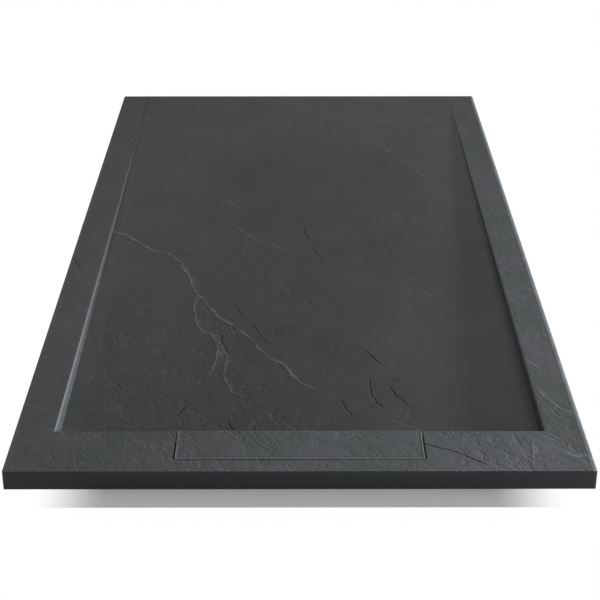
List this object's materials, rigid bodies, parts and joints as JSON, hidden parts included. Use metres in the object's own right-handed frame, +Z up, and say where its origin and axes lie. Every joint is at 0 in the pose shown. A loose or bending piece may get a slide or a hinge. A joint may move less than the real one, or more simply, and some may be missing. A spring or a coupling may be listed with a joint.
{
  "type": "shower tray",
  "caption": "Low rectangular slate-effect shower tray with a floor sloping to a flush lift-off drain cover, over a shallow trap with a lift-out dip tube and a side pipe socket.",
  "frame": {"origin": "centre of the tray's flat underside", "axes": "+Y from the drain end to the shallow end, +X to the right seen from the drain end, +Z up"},
  "size_m": [0.9, 1.8, 0.096],
  "materials": {
    "slate_resin": "matte",
    "black_rubber": "matte",
    "grey_abs": "satin",
    "white_polypropylene": "satin"
  },
  "bodies": {
    "tray": {"tray_body": "slate_resin", "waste_flange": "grey_abs", "flange_seal": "black_rubber", "body_seal": "black_rubber", "trap_body": "white_polypropylene", "outlet_cone_seal": "black_rubber", "outlet_slip_ring": "white_polypropylene", "outlet_nut": "white_polypropylene"},
    "cover": {"drain_cover": "slate_resin", "cover_feet": "black_rubber"},
    "dip_tube_unit": {"dip_tube": "grey_abs", "dip_tube_ring": "black_rubber"},
    "strainer": {"hair_strainer": "grey_abs"}
  },
  "joints": [
    {"name": "cover_lift", "type": "slide", "parent": "tray", "child": "cover", "axis": [0, 0, 1], "range_m": [0, 0.3]},
    {"name": "dip_tube_lift", "type": "slide", "parent": "tray", "child": "dip_tube_unit", "axis": [0, 0, 1], "range_m": [0, 0.09]},
    {"name": "strainer_lift", "type": "slide", "parent": "tray", "child": "strainer", "axis": [0, 0, 1], "range_m": [0, 0.18]}
  ],
  "couplings": [
    {"joint": "dip_tube_lift", "follows": "cover_lift", "ratio": 0.3},
    {"joint": "strainer_lift", "follows": "cover_lift", "ratio": 0.6}
  ]
}
